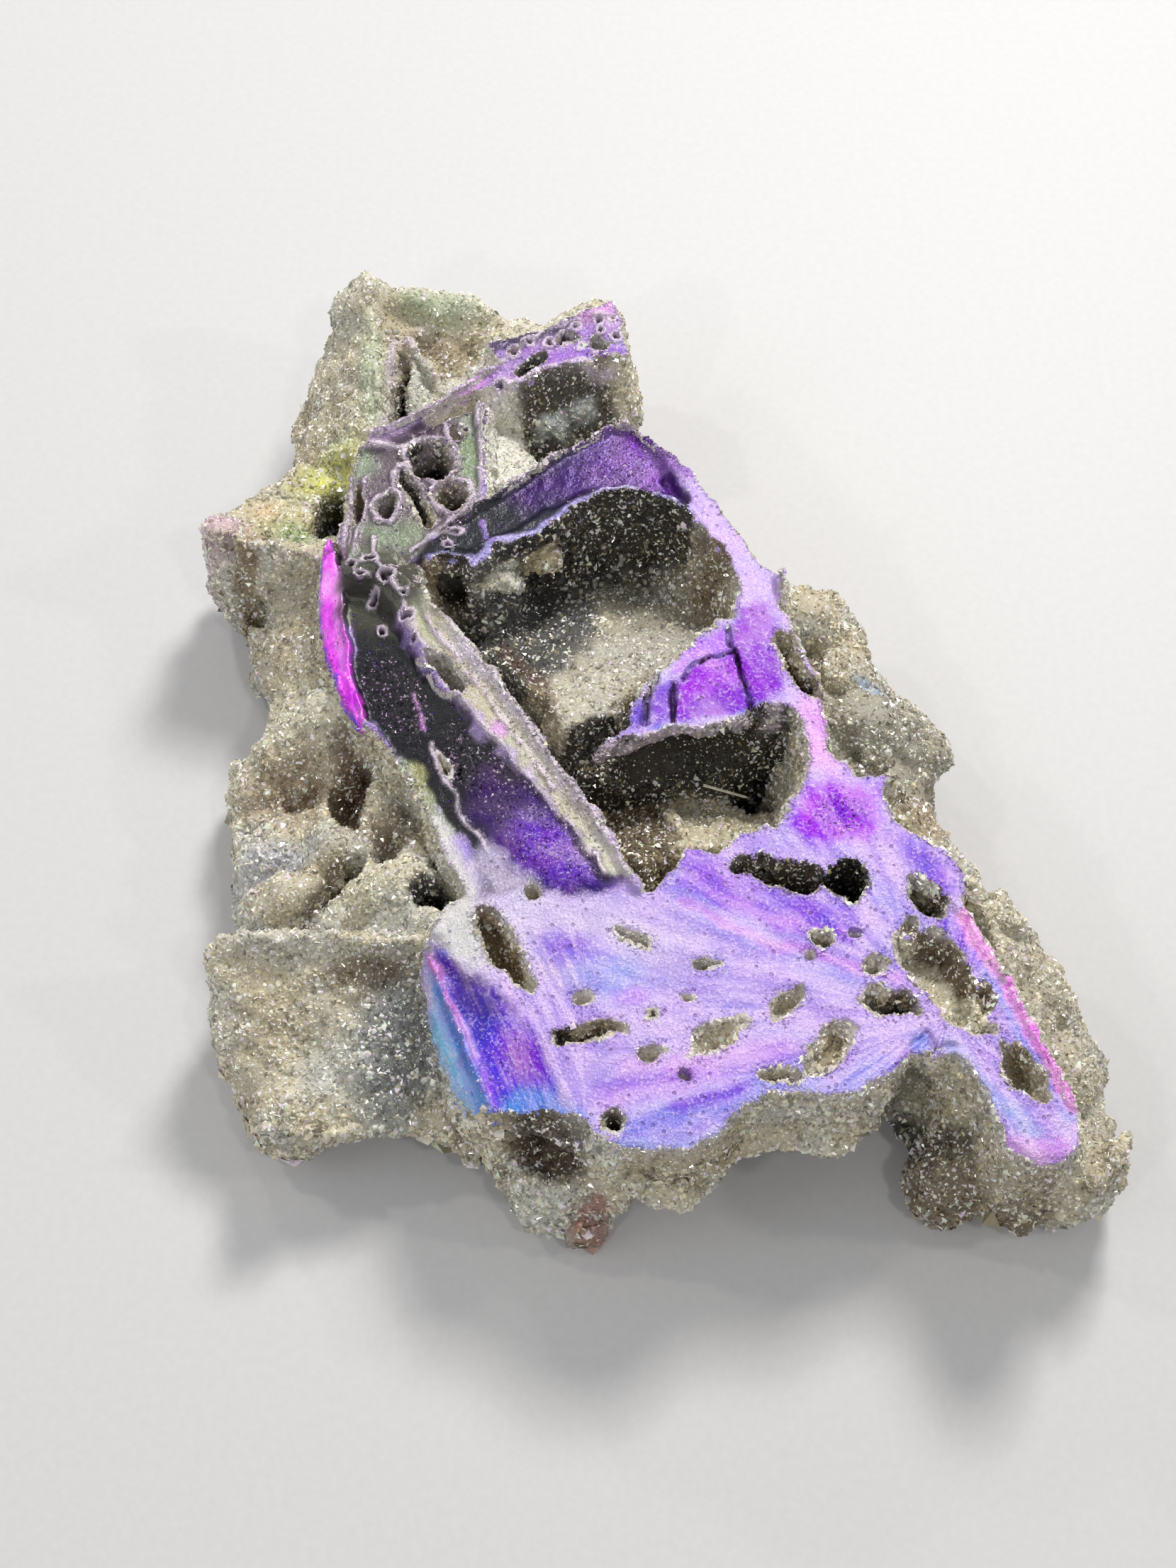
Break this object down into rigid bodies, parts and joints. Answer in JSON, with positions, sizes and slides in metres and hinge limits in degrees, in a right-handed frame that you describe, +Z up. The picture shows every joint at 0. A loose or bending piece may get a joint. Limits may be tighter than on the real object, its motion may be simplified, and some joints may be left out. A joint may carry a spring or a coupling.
{
  "type": "sphalerite slab",
  "caption": "Flat-topped slab of vein rock coated with quartz points, with filmed level faces, a deep vug and an arched front edge, for display.",
  "frame": {"origin": "on the surface that the slab rests on, under the middle of its outline", "axes": "+Z up out of the level faces, +Y from the arched front edge to the far block, +X to the right"},
  "size_m": [0.1202, 0.1373, 0.0305],
  "materials": {
    "filmed_rock": "level faces under a thin violet film with lilac rims, over grey-beige rock set with glinting quartz points",
    "quartz_druse": "grey-brown quartz druse, each point glassy and bright on its flat faces"
  },
  "bodies": {
    "root": {"druse_slab": "filmed_rock", "bowl_crust": "quartz_druse", "pit_crust": "quartz_druse"}
  },
  "joints": []
}
